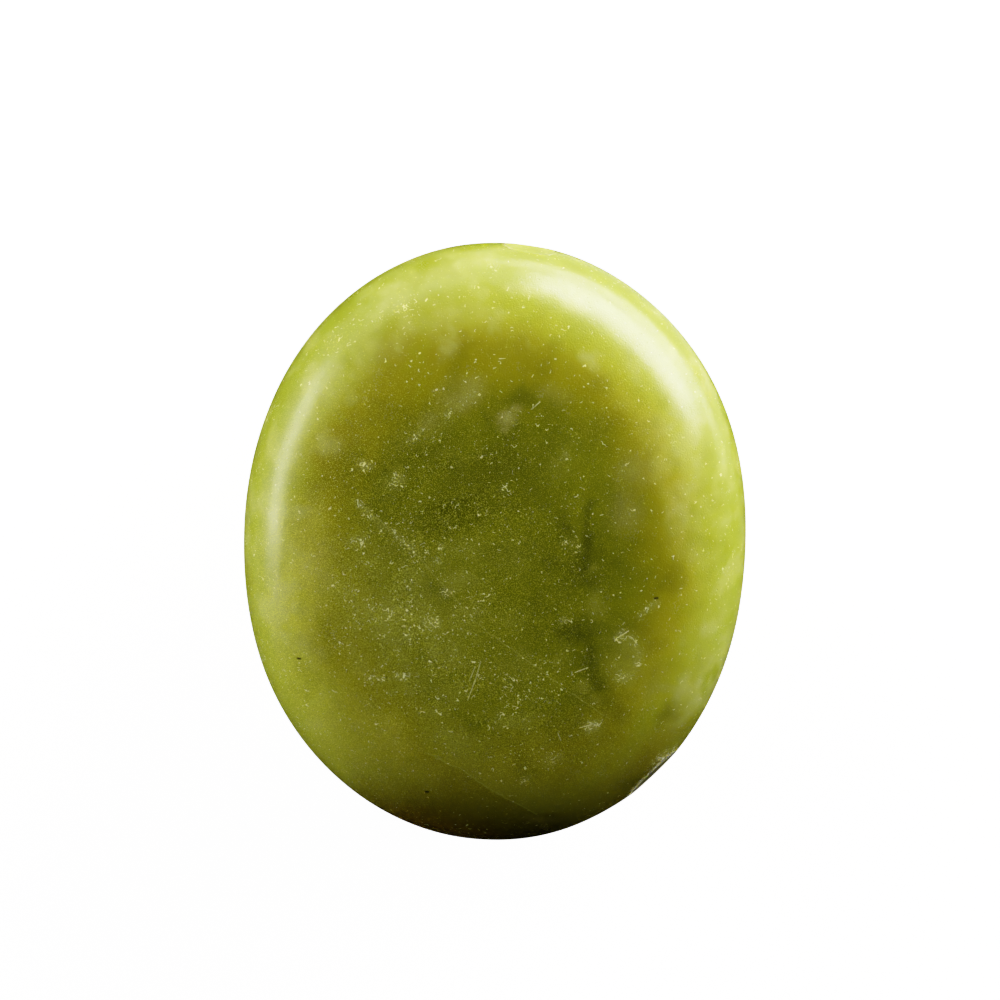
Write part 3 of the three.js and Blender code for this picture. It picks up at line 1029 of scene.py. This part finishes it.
# %% The chip edge group
def chip_edge_group():
    tree, given, out = new_group(
        "Chip edge", [("Width", VALUE, 0.2), ("Crumb Height", VALUE, 0.1)], [("Mask", VALUE), ("Height", VALUE)]
    )
    place = use_group(tree, PLACE)["Millimetres"]
    broken_up = put(tree, "ShaderNodeTexNoise", {"Vector": place, "Scale": 1.8, "Detail": 2.0}).outputs["Fac"]
    crushed = on_mesh(tree, "crushed")
    width = maths(tree, "MULTIPLY", given["Width"], maths(tree, "MAXIMUM", crushed, 1.0))
    width = maths(tree, "MULTIPLY", width, ease(tree, broken_up, 0.35, 0.65, 0.6, 1.3))
    line = ease(tree, on_mesh(tree, "lip_distance"), width, 0.0)
    crumbs = put(tree, "ShaderNodeTexNoise", {"Vector": place, "Scale": 5.0, "Detail": 2.0}).outputs["Fac"]
    line = maths(tree, "MULTIPLY", line, ease(tree, crumbs, 0.38, 0.56, 0.3, 1.3), clamp=True)
    mask = maths(tree, "MULTIPLY", line, maths(tree, "MINIMUM", crushed, 1.0))
    tree.links.new(mask, out["Mask"])
    tree.links.new(maths(tree, "MULTIPLY", maths(tree, "MULTIPLY", mask, crumbs), given["Crumb Height"]), out["Height"])
    return tree


CHIP_LIP = chip_edge_group()
print(f"{CHIP_LIP.name}: {len(CHIP_LIP.nodes)} nodes")

# %% [markdown]
# The two finishes. Light goes a few millimetres into serpentine before it comes out again, red and green
# further than blue, which is what makes the rim glow. Subsurface scattering does that. What is the same all
# over a surface is set on the shader itself, and what changes comes from the groups.

# %% The two finishes
CRUSHED_WHITE = (0.96, 0.93, 0.48)
# Painted shade: the long scar faces away from the light, so its broken stone is painted dark brown.
PAINTED_SCAR_SHADE = (0.075, 0.064, 0.012)


def serpentine(material, satin, powder, shade, lip_width, glow):
    material.use_nodes = True
    tree = material.node_tree
    tree.nodes.clear()
    colour = use_group(tree, STONE_COLOUR, Powder=powder)
    surface = use_group(tree, SATIN, **satin)
    lip = use_group(tree, CHIP_LIP, Width=lip_width, Crumb_Height=0.6)
    # Painted shade on the long flake's scar, as strong as shade asks.
    shaded = mix(tree, maths(tree, "MULTIPLY", on_mesh(tree, "long_flake"), shade), colour["Color"], PAINTED_SCAR_SHADE)
    base = mix(tree, lip["Mask"], shaded, CRUSHED_WHITE)
    height = maths(tree, "ADD", surface["Height"], lip["Height"])
    relief = put(tree, "ShaderNodeBump", {"Height": height, "Distance": MM, "Strength": 1.0})
    shader = put(tree, "ShaderNodeBsdfPrincipled", {
        "Base Color": base, "Roughness": surface["Roughness"], "Normal": relief.outputs[0],
        "IOR": 1.57, "Subsurface Weight": glow, "Subsurface Radius": (1.0, 0.9, 0.25), "Subsurface Scale": 0.003,
    })
    output = put(tree, "ShaderNodeOutputMaterial")
    tree.links.new(shader.outputs[0], output.inputs["Surface"])


serpentine(polished, dict(Unevenness_Size=0.15, Unevenness=0.019, Pit_Depth=0.026, Dullest=0.28, Glossiest=0.20),
           powder=0.0, shade=0.0, lip_width=0.24, glow=0.8)
serpentine(broken, dict(Unevenness_Size=0.3, Unevenness=0.04, Pit_Depth=0.0, Dullest=0.7, Glossiest=0.5),
           powder=0.05, shade=0.6, lip_width=0.12, glow=0.3)
print("polished and broken serpentine are ready")

# %% [markdown]
# The finer stone now takes the place of the measured solid.

# %% Put the stone in the frame
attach(stone, "root")
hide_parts("palm_stone")
print("the stone rides on the root body")

# %% [markdown]
# The floor is a plain pale sheet. To the camera it is lit evenly with a soft shadow of the stone in it.
# To the stone it is dull, as in a photograph taken with black card laid round the stone: nothing bright
# shines up into its lower rim, and that rim stays dark.

# %% The floor
FLOOR_SIZE = 3.0


def floor_material():
    material = bpy.data.materials.new("pale_floor")
    material.use_nodes = True
    tree = material.node_tree
    tree.nodes.clear()
    camera_ray = put(tree, "ShaderNodeLightPath").outputs["Is Camera Ray"]
    dull = put(tree, "ShaderNodeBsdfDiffuse", {"Color": (0.012, 0.012, 0.010, 1)})
    lit = put(tree, "ShaderNodeBsdfDiffuse", {"Color": (0.30, 0.30, 0.295, 1)})
    glow = put(tree, "ShaderNodeEmission", {"Color": (1, 1, 1, 1), "Strength": 1.85})
    pale = put(tree, "ShaderNodeAddShader", {0: lit.outputs[0], 1: glow.outputs[0]})
    both = put(tree, "ShaderNodeMixShader", {0: camera_ray, 1: dull.outputs[0], 2: pale.outputs[0]})
    output = put(tree, "ShaderNodeOutputMaterial")
    tree.links.new(both.outputs[0], output.inputs["Surface"])
    return material


sheet = bpy.data.meshes.new("floor")
corners = [(-1, -1), (1, -1), (1, 1), (-1, 1)]
sheet.from_pydata([(x * FLOOR_SIZE / 2, y * FLOOR_SIZE / 2, 0) for x, y in corners], [], [(0, 1, 2, 3)])
sheet.materials.append(floor_material())
floor = bpy.data.objects.new("floor", sheet)
bpy.context.scene.collection.objects.link(floor)
print(f"the floor is {FLOOR_SIZE} m square")

# %% [markdown]
# The light is soft and comes from the sides, low over the stone. A softbox does two jobs: it lights the stone,
# and it is mirrored in the polish. Here each job has panels of its own, so that the brightness of the stone
# and the shape of its highlights can be set one by one. A panel is an area light that the camera doesn't
# see. Its brightness is given as radiance, so that a bigger panel is as bright to look at as a small one.

# %% Panels of light
STONE_MIDDLE = Vector((0, 0, THICKNESS / 2 * MM))
WARM_WHITE = (1.0, 0.99, 0.965)


def direction(azimuth, elevation):
    """A direction from an angle about the upright axis, from +X towards +Y, and one above the floor."""
    around, above = math.radians(azimuth), math.radians(elevation)
    return Vector((math.cos(above) * math.cos(around), math.cos(above) * math.sin(around), math.sin(above)))


def panel(name, place, facing, width, height, radiance, mirrored):
    light = bpy.data.lights.new(name, "AREA")
    light.shape = "RECTANGLE"
    light.size = width
    light.size_y = height
    light.energy = radiance * width * height * math.pi
    light.color = WARM_WHITE
    holder = bpy.data.objects.new(name, light)
    bpy.context.scene.collection.objects.link(holder)
    holder.location = place
    holder.rotation_euler = facing.to_track_quat("-Z", "Y").to_euler()
    holder.visible_camera = False
    holder.visible_glossy = mirrored
    holder.visible_diffuse = not mirrored
    return holder


def softbox(name, azimuth, elevation, distance, width, height, radiance, mirrored=False):
    """A panel that is aimed at the stone from a direction."""
    towards = direction(azimuth, elevation)
    return panel(name, STONE_MIDDLE + towards * distance, -towards, width, height, radiance, mirrored)


softboxes = [
    softbox("light_upper_right", 40, 12, 0.35, 0.42, 0.13, 16.0),
    softbox("light_left", 176, 12, 0.35, 0.22, 0.14, 8.7),
    softbox("light_far_left", 128, 12, 0.40, 0.28, 0.18, 6.7),
]
print(f"{len(softboxes)} softboxes light the stone")

# %% [markdown]
# What the polish mirrors: a big softbox at the upper right, which makes the broad cream highlight, a narrow
# one at the left, and dim ones in between. White card lies on the table under them, and shows in the lower
# half of the rim. There is nothing bright at the near end, so that end stays dark.

# %% What the polish mirrors
CARD_HEIGHT = 0.001


def card(name, azimuth, distance, width, depth, radiance):
    """A panel that lies on the table and faces up."""
    place = direction(azimuth, 0) * distance + Vector((0, 0, CARD_HEIGHT))
    sheet = panel(name, place, Vector((0, 0, 1)), width, depth, radiance, mirrored=True)
    sheet.rotation_euler = (math.pi, 0, math.radians(azimuth + 90))
    return sheet


mirrored = [
    softbox("seen_upper_right", 46, 15.5, 0.35, 0.42, 0.185, 15.0, mirrored=True),
    softbox("seen_left", 172, 12.5, 0.35, 0.26, 0.12, 6.8, mirrored=True),
    softbox("seen_far", 110, 12, 0.40, 0.34, 0.16, 1.9, mirrored=True),
    card("card_upper_right", 49, 0.124, 0.13, 0.135, 9.8),
    card("card_left", 160, 0.105, 0.08, 0.10, 0.8),
    card("card_far", 106, 0.120, 0.09, 0.12, 1.6),
    card("card_near", 52, 0.040, 0.076, 0.022, 1.05),
]
print(f"{len(mirrored)} panels are mirrored in the polish")

# %% [markdown]
# The room is white to the camera and nearly dark to the stone, so that only the softboxes shape it.

# %% The room
world = bpy.data.worlds.new("room")
bpy.context.scene.world = world
world.use_nodes = True
world.node_tree.nodes.clear()
room = world.node_tree
camera_ray = put(room, "ShaderNodeLightPath").outputs["Is Camera Ray"]
dim = put(room, "ShaderNodeBackground", {"Color": (1, 1, 0.9, 1), "Strength": 0.004})
bright = put(room, "ShaderNodeBackground", {"Color": (1, 1, 1, 1), "Strength": 2.0})
either = put(room, "ShaderNodeMixShader", {0: camera_ray, 1: dim.outputs[0], 2: bright.outputs[0]})
room_output = put(room, "ShaderNodeOutputWorld")
room.links.new(either.outputs[0], room_output.inputs["Surface"])
print("the room is lit")

# %% [markdown]
# A camera rounds off its brightest tones: instead of turning flat white all at once, a highlight goes over
# to white little by little. The curve leaves dark and middle tones as they are, and brings what is up to
# twice as bright as white down into the picture.

# %% Round off the highlights
BRIGHTEST = 2.0
TONE_CURVE = [(0.0, 0.0), (0.2, 0.2), (0.4, 0.4), (0.55, 0.535), (0.75, 0.67), (1.0, 0.79), (1.4, 0.905), (2.0, 1.0)]
BLUE_CURVE = [(0.004, 0.0022), (0.012, 0.0103), (0.03, 0.0287), (0.06, 0.0595), (0.12, 0.12)]
view = bpy.context.scene.view_settings
view.view_transform = "Standard"
view.use_curve_mapping = True
view.curve_mapping.white_level = [BRIGHTEST] * 3
_, _, blue_channel, all_channels = view.curve_mapping.curves
for bright, shown in TONE_CURVE[1:-1]:
    all_channels.points.new(bright / BRIGHTEST, shown)
for given_blue, shown_blue in BLUE_CURVE:
    blue_channel.points.new(given_blue, shown_blue)
view.curve_mapping.update()
print(f"{len(all_channels.points)} points on the tone curve")

# %% [markdown]
# The photograph looks down on the stone, leaning 15 degrees from straight above towards the far end, with
# the long side upright in the picture. A long lens from 0.4 m keeps the outline as the photograph has it.

# %% The camera
CAMERA_ELEVATION = 75
LENS = 150
SENSOR = 36
PICTURE_PIXELS = 1000
PIXELS_PER_MM = 10.236
AIM_RIGHT = 0.511
AIM_UP = 4.436
camera_data = bpy.data.cameras.new("camera")
camera_data.lens = LENS
camera_data.sensor_width = SENSOR
camera_data.clip_start = 0.01
camera = bpy.data.objects.new("camera", camera_data)
bpy.context.scene.collection.objects.link(camera)
towards_camera = direction(90, CAMERA_ELEVATION)
picture_up = Vector((0, math.sin(math.radians(CAMERA_ELEVATION)), -math.cos(math.radians(CAMERA_ELEVATION))))
camera_distance = PICTURE_PIXELS / PIXELS_PER_MM * LENS / SENSOR * MM
aim = STONE_MIDDLE + (Vector((1, 0, 0)) * AIM_RIGHT + picture_up * AIM_UP) * MM
camera.location = aim + towards_camera * camera_distance
camera.rotation_euler = (math.radians(CAMERA_ELEVATION - 90), 0, 0)
bpy.context.scene.camera = camera
print(f"the camera is {camera_distance:.3f} m from its aim")
